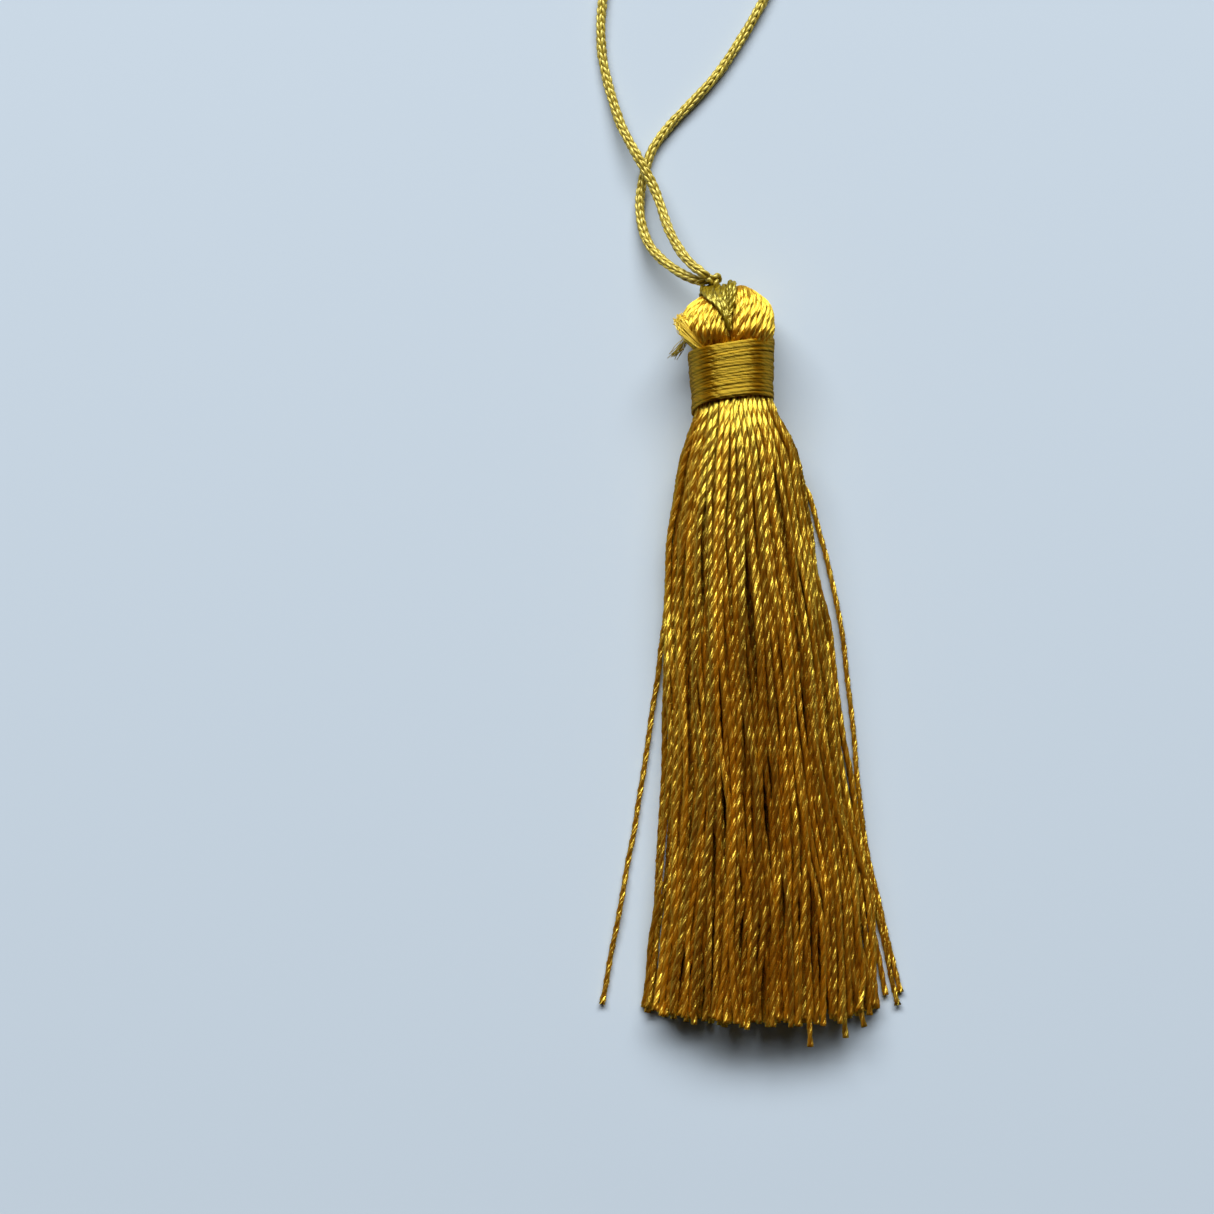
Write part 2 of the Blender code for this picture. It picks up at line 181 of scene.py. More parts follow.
SKIRT = (
    SkirtSection(-2.0, -3.65, 3.95, 0.65, 7.75, 0.0, 0.29),
    SkirtSection(-4.3, -4.08, 4.75, 0.40, 8.45, 0.1, 0.31),
    SkirtSection(-6.2, -4.75, 6.00, 0.10, 9.00, 0.3, 0.32),
    SkirtSection(-9.5, -5.80, 7.40, 0.00, 9.45, 0.6, 0.325),
    SkirtSection(-17.0, -6.90, 8.80, 0.00, 9.90, 0.9, 0.325),
    SkirtSection(-28.0, -7.45, 10.9, 0.00, 10.05, 1.0, 0.325),
    SkirtSection(-42.0, -7.45, 12.9, 0.00, 8.90, 1.0, 0.325),
    SkirtSection(-56.0, -8.40, 15.5, 0.00, 7.90, 1.0, 0.325),
    SkirtSection(-69.5, -9.90, 16.3, 0.00, 6.90, 1.0, 0.325),
)
Layer = namedtuple("Layer", "name sides step")
LAYERS = (
    Layer("skirt_yarns_under", 6, 0.5),
    Layer("skirt_yarns_inner", 8, 0.36),
    Layer("skirt_yarns_outer", 8, 0.3),
    Layer("skirt_yarns_crown", 8, 0.3),
)
STRAY_LOWNESS = 1.5
Stray = namedtuple("Stray", "side route")
STRAYS = (
    Stray(-1, ((-7.2, -24.0), (-7.85, -32.0), (-8.65, -37.0), (-9.95, -46.0), (-12.1, -58.0),
               (-14.1, -68.6))),
    Stray(1, ((7.2, -9.5), (8.5, -13.0), (10.4, -19.6), (12.0, -27.0), (13.2, -37.0), (14.0, -46.0),
              (14.5, -50.2), (15.4, -54.4), (16.4, -58.6), (18.5, -67.3))),
    Stray(1, ((14.0, -49.0), (14.9, -54.4), (16.0, -58.6), (18.2, -68.7))),
    Stray(1, ((13.8, -49.0), (14.4, -54.4), (15.2, -58.6), (16.9, -67.6))),
)
LONG_END_HEIGHT = 0.3
LongEnd = namedtuple("LongEnd", "x tip_y")
LONG_ENDS = (LongEnd(8.2, -72.4), LongEnd(12.3, -71.7), LongEnd(14.2, -70.6))

# Waves by which the skirt's yarns wander, each a length and a height: from row to row, then ring to ring
DRIFT = 0.035
DRIFT_ACROSS = ((75, DRIFT), (38, DRIFT * 0.8), (21, DRIFT * 0.4))
DRIFT_UP = ((80, DRIFT), (42, DRIFT * 0.8), (24, DRIFT * 0.4))
WANDER_ACROSS = ((9.0, 0.03), (4.6, 0.012))
WANDER_UP = ((8.0, 0.02), (4.3, 0.01))
BILLOW = ((17.0, 0.16), (29.0, 0.12))
BILLOW_START = 4
BILLOW_GROWS_OVER = 20

# Head: for each lobe, rounded sections from under the tie, over the crest and down into the neck
HEAD_HEIGHT = 4.35
HEAD_YARNS = 32
HEAD_YARN_RADIUS = 0.36
HEAD_YARN_WIDTH = (0.94, 1.08)
HEAD_YARN_PITCH = (2.9, 3.6)
HEAD_YARN_TONE = (0.3, 1.0)
HEAD_YARN_RINGS = 44
HEAD_YARN_SIDES = 10
HEAD_SWELL_AT = (0.0, 0.2, 0.4, 0.75, 1.0)
HEAD_SWELL = (0.6, 0.75, 1.03, 1.03, 0.8)
HEAD_HEART_INSET = 1.5
HEAD_HEART_RINGS = 20
HEAD_HEART_SIDES = 28
NECK_YARNS = 84
NECK_YARN_TONE = (0.0, 0.5)
NECK_YARN_RINGS = 12
NECK_YARN_SIDES = 8
NECK_UNEVEN = 0.15
NECK_MIDDLE = (-0.35, 4.35)
NECK_REACH = (3.55, 3.6)
NECK_TOP = 3.3
NECK_BOTTOM = 0.3
NECK_DOME = 0.9
LOBE_SQUARENESS = 2.4
LOBE_LEAST = 0.1
LOBE_OUTLINE_POINTS = 721
LOWERED_LEVELS = (0, 3, 5)
LOWERED_SHARES = (1, 1, 0)
LobeLevel = namedtuple("LobeLevel", "y inner outer half_height")
LEFT_LOBE = (
    LobeLevel(7.20, -1.30, -1.90, 0.9),
    LobeLevel(8.00, -1.40, -2.60, 1.9),
    LobeLevel(8.25, -1.70, -3.40, 2.5),
    LobeLevel(7.80, -1.35, -4.35, 3.15),
    LobeLevel(6.90, -0.85, -5.10, 3.65),
    LobeLevel(5.95, -0.55, -5.50, 4.05),
    LobeLevel(5.05, -0.32, -5.60, 4.32),
    LobeLevel(4.15, -0.28, -5.45, 4.45),
    LobeLevel(3.45, -0.26, -5.00, 4.30),
    LobeLevel(2.80, -0.26, -4.45, 3.75),
    LobeLevel(1.60, -0.26, -3.95, 3.5),
)
RIGHT_LOBE = (
    LobeLevel(7.80, 0.20, 0.60, 0.9),
    LobeLevel(9.00, 0.10, 1.10, 1.9),
    LobeLevel(9.25, -0.10, 1.70, 2.5),
    LobeLevel(8.75, -0.30, 2.60, 3.15),
    LobeLevel(7.80, -0.40, 3.65, 3.65),
    LobeLevel(6.80, -0.42, 4.25, 4.0),
    LobeLevel(5.90, -0.50, 4.45, 4.25),
    LobeLevel(5.00, -0.56, 4.52, 4.42),
    LobeLevel(4.15, -0.58, 4.45, 4.5),
    LobeLevel(3.35, -0.58, 4.30, 4.3),
    LobeLevel(2.70, -0.58, 4.10, 3.8),
    LobeLevel(1.60, -0.58, 3.85, 3.5),
)

# Tie over the cleft
TIE_MIDDLE_Y = 6.95
TIE_THREADS = 12
TIE_THREAD_RADIUS = 0.25
TIE_LIFT = 0.22
TIE_CLEARS = 0.35
TIE_LEAST_REACH = 2.0
TIE_SPREAD = (0.04, 0.96)
TIE_THREAD_WIDTH = (0.92, 1.1)
TIE_THREAD_PITCH = (1.7, 2.2)
TIE_SINK = 0.15
TIE_SMOOTH = 2
TIE_ANGLES = 33
TIE_RINGS = 110
TIE_SIDES = 8
UPPER_TIE_THREADS = 4
UPPER_TIE_SPREAD = (0.35, 0.85)
UPPER_TIE_LIFT = 0.18
RAY_START = 20.0
LAID_ON_RINGS = 40
LAID_ON_SIDES = 48
TieEdge = namedtuple("TieEdge", "angle left right")
TIE_EDGES = (
    TieEdge(-40, -0.52, -0.46),
    TieEdge(-22, -1.00, -0.44),
    TieEdge(-8, -1.65, -0.22),
    TieEdge(2, -2.25, -0.06),
    TieEdge(13, -3.10, 0.08),
    TieEdge(32, -3.55, 0.20),
    TieEdge(90, -3.45, 0.25),
)

# Neck binding
CORE_HEIGHT = 4.25
BINDING_TOP = 2.85
BINDING_BOTTOM = -3.55
BINDING_RADIUS_TOP = 4.7
BINDING_RADIUS_BOTTOM = 4.35
BINDING_LEAN_TOP = 0.15
BINDING_LEAN_BOTTOM = 0.125
BINDING_RISE_TOP = 0.05
BINDING_RISE_BOTTOM = 0.19
BINDING_FLAT = 0.35
BINDING_TURNS = 22
BINDING_THREAD = 0.245
BINDING_FLATNESS = 0.65
BINDING_SQUARENESS = 0.84
BINDING_STEP = 0.25
BINDING_SIDES = 8
BINDING_SHIFT = -0.2
BINDING_FIRST = 0.035
BINDING_SPREAD = 0.93
BINDING_PITCH = 2.4
BINDING_GROOVE = 0.12
BINDING_THREAD_WIDTH = (0.9, 1.1)
BINDING_LEAN_SCATTER = 0.005
BINDING_WANDER = ((22, 0.010), (9.5, 0.006))
BINDING_SWELL = ((17, 0.035), (7.3, 0.02))
BINDING_HEART_INSET = 0.33
BINDING_HEART_SPAN = (0.30, 0.90)
BINDING_HEART_RINGS = 9
BINDING_HEART_SIDES = 48
LAST_TURNS = 2
LAST_TURNS_START = 0.97
LAST_TURNS_STEP = 0.06
LAST_TURNS_LEAN = 0.02
LAST_TURNS_LIFT = 0.12

# Frayed yarn end beside the left lobe
FRAY_ROUTE = ((-2.7, 1.2, 6.5), (-3.3, 2.5, 7.1), (-4.0, 3.25, 7.35), (-4.75, 4.1, 7.1), (-5.25, 4.8, 6.8))
FRAY_TIPS = ((-6.25, 5.15, 6.4), (-5.95, 5.75, 6.6), (-5.55, 6.15, 6.9))
FRAY_RADII = (0.36, 0.26)
FRAY_TONE = 0.9
FRAY_PITCH = 3.4
FRAY_GROOVE = 0.35
FRAY_RINGS = 24
FRAY_SIDES = 8
FRAY_FIBRES = 130
FRAY_SPREAD = (0.4, 0.6, 0.9, 1.2, 1.5)
FRAY_ASIDE = 0.31
FRAY_TIP_SCATTER = 0.22
FRAY_SHARE = (0.55, 1.0)
FRAY_BEND = 0.07
WISP_ROOT = (-5.0, 3.6, 3.6)
WISP_TIP = (-6.3, 1.9, 3.0)
WISP_FIBRES = 26
WISP_THINNESS = 0.8
WISP_ROOT_SCATTER = 0.12
WISP_TIP_SCATTER = 0.28
WISP_BEND = 0.12
WISP_RINGS = 10
FIBRE_RADIUS = 0.045
FIBRE_RINGS = 18
FIBRE_SIDES = 4

# Silk: the texture of its filaments and its slack, the bundles in its plies, and the look of each kind
FILAMENT_STRETCH = (14.0, 5.0, 1.0)
FILAMENT_SCALE = 2.2
FILAMENT_DETAIL = 3.0
FILAMENT_ROUGHNESS = 0.6
FILAMENT_BUMP = 0.35
FILAMENT_DEPTH = 0.03
SLACK_STRETCH = (6.0, 7.0, 1.0)
ROUGHNESS_RANGE = 0.22
RIDGE_POWER = 0.6
BUNDLES = 7
BUNDLE_SHARE = 0.12
# groove is the colour multiplied in where the crest mask is low: painted shade in the grooves between plies
# and under stitches
SilkLook = namedtuple(
    "SilkLook", "pale deep groove tint roughness stretch metallic ply_depth waver streaks ior"
)
YARN_LOOK = SilkLook(
    pale=(0.74, 0.225, 0.0008), deep=(0.28, 0.052, 0.0003), groove=(0.72, 0.42, 0.25),
    tint=(1.0, 0.81, 0.10), roughness=0.49, stretch=0.92, metallic=0.15, ply_depth=0.12, waver=0.17,
    streaks=0.35, ior=3.9,
)
FIBRE_LOOK = SilkLook(
    pale=(1.0, 0.68, 0.06), deep=(0.60, 0.33, 0.015), groove=(1.0, 1.0, 1.0),
    tint=(1.0, 0.85, 0.18), roughness=0.40, stretch=0.0, metallic=0.1, ply_depth=0.0, waver=0.0,
    streaks=0.2, ior=2.4,
)
THREAD_LOOK = SilkLook(
    pale=(0.36, 0.15, 0.001), deep=(0.20, 0.078, 0.0005), groove=(0.6, 0.5, 0.4),
    tint=(1.0, 0.75, 0.08), roughness=0.48, stretch=1.0, metallic=0.1, ply_depth=0.03, waver=0.02,
    streaks=0.8, ior=2.35,
)
TIE_LOOK = SilkLook(
    pale=(0.38, 0.26, 0.008), deep=(0.21, 0.135, 0.004), groove=(0.32, 0.26, 0.18),
    tint=(1.0, 0.87, 0.20), roughness=0.36, stretch=0.7, metallic=0.1, ply_depth=0.05, waver=0.02,
    streaks=0.35, ior=2.1,
)
CORD_LOOK = SilkLook(
    pale=(0.59, 0.44, 0.055), deep=(0.43, 0.30, 0.028), groove=(0.36, 0.30, 0.18),
    tint=(1.0, 0.88, 0.34), roughness=0.38, stretch=0.4, metallic=0.1, ply_depth=0.0, waver=0.0,
    streaks=0.35, ior=1.8,
)
# A dark fill inside the lobes and under the binding, seen through the gaps between yarns and turns as
# painted shade
SHADE_FILL_LOOK = SilkLook(
    pale=(0.14, 0.04, 0.001), deep=(0.12, 0.035, 0.001), groove=(1.0, 1.0, 1.0),
    tint=(1.0, 0.8, 0.4), roughness=0.6, stretch=0.0, metallic=0.0, ply_depth=0.0, waver=0.0,
    streaks=0.35, ior=1.5,
)

# Surroundings
FLOOR_HALF = 1.2
FLOOR_COLOUR = (0.50, 0.555, 0.595, 1.0)
FLOOR_ROUGHNESS = 0.6
FLOOR_SPECULAR = 0.2
ROOM_COLOUR = (1.0, 0.90, 0.82, 1.0)
ROOM_STRENGTH = 0.018
LIGHT_COLOUR = (0.888, 0.935, 1.0)
LIGHT_TARGET = (0.0, -0.025, 0.0)
AreaLight = namedtuple("AreaLight", "name place size watts")
LIGHTS = (
    AreaLight("window", (-0.16, 1.72, 1.62), (3.2, 0.80), 116.0),
    AreaLight("ceiling", (-0.05, 1.12, 1.98), (1.8, 0.60), 9.0),
)


# Tubes: a skin over many lines at once, with what its material reads

Tubes = namedtuple("Tubes", "points uvs lay tone crest rings sides count")


def unit(vectors):
    return vectors / np.maximum(np.linalg.norm(vectors, axis=-1, keepdims=True), 1e-12)


def resampled(lines, rings):
    """Lines of equally many points, as smooth curves through them with evenly spaced rings (Catmull-Rom)."""
    lines = np.asarray(lines, float)
    first = 2 * lines[:, :1] - lines[:, 1:2]
    last = 2 * lines[:, -1:] - lines[:, -2:-1]
    padded = np.concatenate((first, lines, last), axis=1)
    a, b, c, d = (padded[:, k : lines.shape[1] - 1 + k, None] for k in range(4))
    t = np.linspace(0, 1, LINE_STEPS, endpoint=False)[None, None, :, None]
    fine = 0.5 * (2 * b + (c - a) * t + (2 * a - 5 * b + 4 * c - d) * t**2 + (3 * b - a - 3 * c + d) * t**3)
    fine = np.concatenate((fine.reshape(len(lines), -1, 3), lines[:, -1:]), axis=1)
    steps = np.linalg.norm(np.diff(fine, axis=1), axis=2)
    along = np.concatenate((np.zeros((len(lines), 1)), np.cumsum(steps, axis=1)), axis=1)
    out = np.empty((len(lines), rings, 3))
    for n, (reach, line) in enumerate(zip(along, fine)):
        at = np.linspace(0, reach[-1], rings)
        for k in range(3):
            out[n, :, k] = np.interp(at, reach, line[:, k])
    return out


def squared(angles, power):
    """Cosine and sine of the angles, each to a power below 1, which makes a circle squarer."""
    cos, sin = np.cos(angles), np.sin(angles)
    return np.sign(cos) * np.abs(cos) ** power, np.sign(sin) * np.abs(sin) ** power


def lengths_along(lines):
    steps = np.linalg.norm(np.diff(lines, axis=1), axis=2)
    return np.concatenate((np.zeros((len(lines), 1)), np.cumsum(steps, axis=1)), axis=1)


def frames_along(lines):
    """Normals that turn as little as possible along each line, starting near up, and the third axis."""
    tangents = unit(np.gradient(lines, axis=1))
    normals = np.empty_like(lines)
    normal = np.broadcast_to(np.array(UP), lines[:, 0].shape)
    for i in range(lines.shape[1]):
        tangent = tangents[:, i]
        normal = unit(normal - (normal * tangent).sum(axis=1, keepdims=True) * tangent)
        normals[:, i] = normal
    return normals, np.cross(tangents, normals)


def tubes(lines, radius, sides, tone, pitch=None, start=0.0, groove=0.0, flat=1.0):
    """Twisted two-ply tubes over lines. pitch is the length of one turn, groove the share by which the
    skin dips between the plies, and flat the share of its thickness that an untwisted strand keeps."""
    count, rings = lines.shape[:2]
    normals, sideways = frames_along(lines)
    around = 2 * math.pi * np.arange(sides) / sides
    along = lengths_along(lines)
    turn = np.zeros_like(along)
    if pitch is not None:
        turn = 2 * math.pi * along / np.reshape(pitch, (-1, 1)) + np.reshape(start, (-1, 1))
    angle = around[None, None] + turn[:, :, None]
    dip = 1 - groove * np.sin(around) ** 2
    reach = np.broadcast_to(radius, (count, rings))[:, :, None] * dip[None, None]
    points = (
        lines[:, :, None]
        + (reach * np.cos(angle) * flat)[..., None] * normals[:, :, None]
        + (reach * np.sin(angle))[..., None] * sideways[:, :, None]
    )
    uvs = np.empty((count, rings, sides, 2))
    uvs[..., 0] = np.arange(sides) / sides
    uvs[..., 1] = along[:, :, None] / TEXTURE_LENGTH
    lay = uvs.copy()
    lay[..., 0] += turn[:, :, None] / (2 * math.pi)
    # Crest mask: high on the plies' crests and low in their grooves, where the material paints shade
    crest = np.tile(np.cos(around) ** 2, count * rings)
    tone = np.repeat(np.ravel(tone), rings * sides)
    uvs, lay = uvs.reshape(-1, 2), lay.reshape(-1, 2)
    return Tubes(points.reshape(-1, 3), uvs, lay, tone, crest, rings, sides, count)


def tube_faces(made, offset):
    """Corner numbers of the side faces, four each, and of the end caps."""
    sides, rings = made.sides, made.rings
    starts = offset + np.arange(made.count)[:, None, None] * rings * sides
    here = starts + np.arange(rings - 1)[None, :, None] * sides + np.arange(sides)[None, None]
    nxt = here - np.arange(sides) + (np.arange(sides) + 1) % sides
    quads = np.stack((here, nxt, nxt + sides, here + sides), axis=-1).reshape(-1, 4)
    first = starts[:, 0] + np.arange(sides)[::-1]
    last = starts[:, 0] + (rings - 1) * sides + np.arange(sides)
    return quads, np.concatenate((first, last))


def linked(name, data):
    obj = bpy.data.objects.new(name, data)
    bpy.context.scene.collection.objects.link(obj)
    return obj


def add_tubes(name, parts, material):
    """One mesh object of several groups of tubes."""
    mesh = bpy.data.meshes.new(name)
    points = np.concatenate([part.points for part in parts]) * MM
    points[:, 2] = np.maximum(points[:, 2], 0)
    mesh.vertices.add(len(points))
    mesh.vertices.foreach_set("co", points.astype(np.float32).ravel())
    corners, starts, totals, across = [], [], [], []
    offset, at = 0, 0
    for part in parts:
        quads, caps = tube_faces(part, offset)
        for block in (quads, caps):
            size = block.shape[1]
            corners.append(block.ravel())
            starts.append(at + size * np.arange(len(block)))
            totals.append(np.full(len(block), size))
            at += block.size
        # The last side closes on the first, so its far corners take 1 and not 0
        wrap = np.zeros((len(quads), 4), bool)
        wrap[part.sides - 1 :: part.sides, 1:3] = True
        across += [wrap.ravel(), np.zeros(caps.size, bool)]
        offset += len(part.points)
    corners = np.concatenate(corners)
    mesh.loops.add(len(corners))
    mesh.loops.foreach_set("vertex_index", corners.astype(np.int32))
    starts, totals = np.concatenate(starts), np.concatenate(totals)
    mesh.polygons.add(len(starts))
    mesh.polygons.foreach_set("loop_start", starts.astype(np.int32))
    mesh.polygons.foreach_set("loop_total", totals.astype(np.int32))
    mesh.polygons.foreach_set("use_smooth", totals == 4)
    mesh.update(calc_edges=True)
    across = np.concatenate(across)
    for label, source in (("UVMap", "uvs"), ("lay", "lay")):
        uvs = np.concatenate([getattr(part, source) for part in parts])[corners]
        uvs[across, 0] += 1
        mesh.uv_layers.new(name=label).data.foreach_set("uv", uvs.astype(np.float32).ravel())
    for label in ("tone", "crest"):
        values = np.concatenate([getattr(part, label) for part in parts]).astype(np.float32)
        mesh.attributes.new(label, "FLOAT", "POINT").data.foreach_set("value", values)
    mesh.materials.append(material)
    return linked(name, mesh)


def loft_faces(rings, count):
    """The side faces of a skin over rings of count points each."""
    faces = []
    for i in range(rings - 1):
        for j in range(count):
            k = (j + 1) % count
            faces.append((i * count + j, i * count + k, (i + 1) * count + k, (i + 1) * count + j))
    return faces


def add_loft(name, rings, material):
    """A capped skin over rings of equally many points."""
    count = len(rings[0])
    points = [tuple(float(c) * MM for c in p) for ring in rings for p in ring]
    faces = loft_faces(len(rings), count)
    faces.append(tuple(reversed(range(count))))
    faces.append(tuple(range(len(points) - count, len(points))))
    mesh = bpy.data.meshes.new(name)
    mesh.from_pydata(points, [], faces)
    mesh.materials.append(material)
    mesh.shade_smooth()
    return linked(name, mesh)


def settle_in(obj, slot, *nodes):
    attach(obj, "root")
    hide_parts(*nodes)
    return obj


# Materials

def node(tree, kind, **inputs):
    made = tree.nodes.new(kind)
    for key, value in inputs.items():
        made.inputs[key.replace("_", " ")].default_value = value
    return made


def maths(tree, operation, first, second=None):
    made = tree.nodes.new("ShaderNodeMath")
    made.operation = operation
    for socket, value in zip(made.inputs, (first, second)):
        if hasattr(value, "is_linked"):
            tree.links.new(value, socket)
        elif value is not None:
            socket.default_value = value
    return made.outputs[0]


def mixed(tree, share, first, second, blend="MIX"):
    made = tree.nodes.new("ShaderNodeMix")
    made.data_type = "RGBA"
    made.blend_type = blend
    for socket, value in zip((made.inputs[0], made.inputs[6], made.inputs[7]), (share, first, second)):
        if hasattr(value, "is_linked"):
            tree.links.new(value, socket)
        elif isinstance(value, tuple):
            socket.default_value = (*value, 1.0)
        else:
            socket.default_value = value
    return made.outputs[2]


def silk(name, look):
    """Twisted silk: each strand its own tone, with painted shade darkening the groove between its plies, and
    fine filaments along it that break up the shine."""
    material = bpy.data.materials.new(name)
    material.use_nodes = True
    tree = material.node_tree
    shader = tree.nodes["Principled BSDF"]
    tone = tree.nodes.new("ShaderNodeAttribute")
    tone.attribute_name = "tone"
    crest = tree.nodes.new("ShaderNodeAttribute")
    crest.attribute_name = "crest"
    uv = tree.nodes.new("ShaderNodeUVMap")
    uv.uv_map = "UVMap"
    lay = tree.nodes.new("ShaderNodeUVMap")
    lay.uv_map = "lay"
    stretch = tree.nodes.new("ShaderNodeMapping")
    stretch.inputs["Scale"].default_value = FILAMENT_STRETCH
    tree.links.new(lay.outputs[0], stretch.inputs[0])
    filaments = node(
        tree, "ShaderNodeTexNoise",
        Scale=FILAMENT_SCALE, Detail=FILAMENT_DETAIL, Roughness=FILAMENT_ROUGHNESS,
    )
    tree.links.new(stretch.outputs[0], filaments.inputs["Vector"])
    base = mixed(tree, tone.outputs["Fac"], look.deep, look.pale)
    lightened = maths(tree, "MULTIPLY_ADD", filaments.outputs["Fac"], look.streaks)
    lightened.node.inputs[2].default_value = 1 - look.streaks / 2
    streaked = mixed(tree, 1.0, base, (1.0, 1.0, 1.0), "MULTIPLY")
    tree.links.new(lightened, streaked.node.inputs[7])
    # Painted shade: the groove colour darkens each strand where the crest mask is low, in the grooves
    # between plies and where stitches tuck under
    raised = maths(tree, "POWER", crest.outputs["Fac"], RIDGE_POWER)
    shaded_groove = mixed(tree, 1.0, streaked, look.groove, "MULTIPLY")
    colour = mixed(tree, raised, shaded_groove, streaked)
    tree.links.new(colour, shader.inputs["Base Color"])
    rough = maths(tree, "MULTIPLY_ADD", filaments.outputs["Fac"], ROUGHNESS_RANGE)
    rough.node.inputs[2].default_value = look.roughness - ROUGHNESS_RANGE / 2
    tree.links.new(rough, shader.inputs["Roughness"])
    plies = tree.nodes.new("ShaderNodeSeparateXYZ")
    tree.links.new(uv.outputs[0], plies.inputs[0])
    around = maths(tree, "COSINE", maths(tree, "MULTIPLY", plies.outputs[0], 2 * math.pi))
    ridge = maths(tree, "POWER", maths(tree, "ABSOLUTE", around), RIDGE_POWER)
    bundles = maths(tree, "COSINE", maths(tree, "MULTIPLY", plies.outputs[0], 2 * math.pi * BUNDLES))
    ridges = maths(tree, "ADD", ridge, maths(tree, "MULTIPLY", bundles, BUNDLE_SHARE))
    ply_bump = node(tree, "ShaderNodeBump", Strength=1.0, Distance=look.ply_depth * MM)
    tree.links.new(ridges, ply_bump.inputs["Height"])
    bump = node(tree, "ShaderNodeBump", Strength=FILAMENT_BUMP, Distance=FILAMENT_DEPTH * MM)
    tree.links.new(filaments.outputs["Fac"], bump.inputs["Height"])
    slack = tree.nodes.new("ShaderNodeMapping")
    slack.inputs["Scale"].default_value = SLACK_STRETCH
    tree.links.new(lay.outputs[0], slack.inputs[0])
    wavering = node(tree, "ShaderNodeTexNoise", Scale=1.0, Detail=1.0, Roughness=0.5)
    tree.links.new(slack.outputs[0], wavering.inputs["Vector"])
    waver_bump = node(tree, "ShaderNodeBump", Strength=1.0, Distance=look.waver * MM)
    tree.links.new(wavering.outputs["Fac"], waver_bump.inputs["Height"])
    tree.links.new(ply_bump.outputs[0], waver_bump.inputs["Normal"])
    tree.links.new(waver_bump.outputs[0], bump.inputs["Normal"])
    tree.links.new(bump.outputs[0], shader.inputs["Normal"])
    shader.inputs["IOR"].default_value = look.ior
    shader.inputs["Metallic"].default_value = look.metallic
    shader.inputs["Specular IOR Level"].default_value = 1.0
    shader.inputs["Anisotropic"].default_value = look.stretch
    tangent = tree.nodes.new("ShaderNodeTangent")
    tangent.direction_type = "UV_MAP"
    tangent.uv_map = "UVMap"
    tree.links.new(tangent.outputs[0], shader.inputs["Tangent"])
    shader.inputs["Specular Tint"].default_value = (*look.tint, 1.0)
    return material


# Camera and cord

def add_camera():
    camera = bpy.data.cameras.new("camera")
    camera.sensor_width = SENSOR_MM
    view_width = PHOTO_PIXELS * MM_PER_PIXEL
    camera.lens = SENSOR_MM * (CAMERA_HEIGHT - SCALE_HEIGHT) / view_width
    camera.clip_start = CAMERA_CLIP
    holder = linked("camera", camera)
    middle = PHOTO_PIXELS / 2
    x = (middle - PHOTO_ORIGIN[0]) * MM_PER_PIXEL
    y = (PHOTO_ORIGIN[1] - middle) * MM_PER_PIXEL
    holder.location = Vector((x, y, CAMERA_HEIGHT)) * MM
    bpy.context.scene.camera = holder


def cord_line():
    """The cord's centre line, with each end drawn on into the knot."""
    route = np.array(CORD_ROUTE)
    knot = np.array(KNOT_MIDDLE)
    first = route[0] + CORD_TUCK * unit(knot - route[0])
    last = route[-1] + CORD_TUCK * unit(knot - route[-1])
    route = np.vstack((first, route, last))
    length = lengths_along(route[None])[0, -1]
    return resampled(route[None], round(length / CORD_STEP))[0]


def stitches(line):
    """The two legs of each knitted stitch, column by column round the cord. Every leg starts under the
    stitch before it, rises, and ends beside its column's middle."""
    chance = np.random.default_rng(STITCH_SEED)
    normals, sideways = frames_along(line[None])
    along = lengths_along(line[None])[0]
    share = np.linspace(0, 1, STITCH_RINGS)
    starts = np.arange(FIRST_STITCH, along[-1] - STITCH_LENGTH, KNIT_PITCH)
    lines, outward, widths = [], [], []
    for column in range(KNIT_COLUMNS):
        for side in (-1, 1):
            begin = starts + (column / KNIT_COLUMNS + STITCH_SHIFT * side) * KNIT_PITCH
            begin = np.minimum(begin, along[-1] - STITCH_LENGTH)
            at = begin[:, None] + STITCH_LENGTH * share[None]
            middle = 2 * math.pi * (column / KNIT_COLUMNS + at / KNIT_TWIST) + math.pi / 2
            lean = STITCH_FAR + (STITCH_NEAR - STITCH_FAR) * share[None]
            angle = middle + side * (lean + chance.normal(0, STITCH_LEAN_SCATTER, (len(starts), 1)))
            reach = STITCH_DEPTH + STITCH_RISE * np.sin(math.pi * share[None]) ** 0.8
            reach = reach + chance.normal(0, STITCH_DEPTH_SCATTER, (len(starts), 1))
            place, up, across = (
                np.stack([np.interp(at, along, axis[:, k]) for k in range(3)], axis=-1)
                for axis in (line, normals[0], sideways[0])
            )
            out = np.cos(angle)[..., None] * across + np.sin(angle)[..., None] * up
            lines.append(place + reach[..., None] * out)
            outward.append(out)
            swell = STITCH_ENDS + (1 - STITCH_ENDS) * np.sin(math.pi * share) ** 0.7
            widths.append(np.broadcast_to(STITCH_HALF_WIDTH * swell, at.shape))
    return np.concatenate(lines), np.concatenate(outward), np.concatenate(widths)


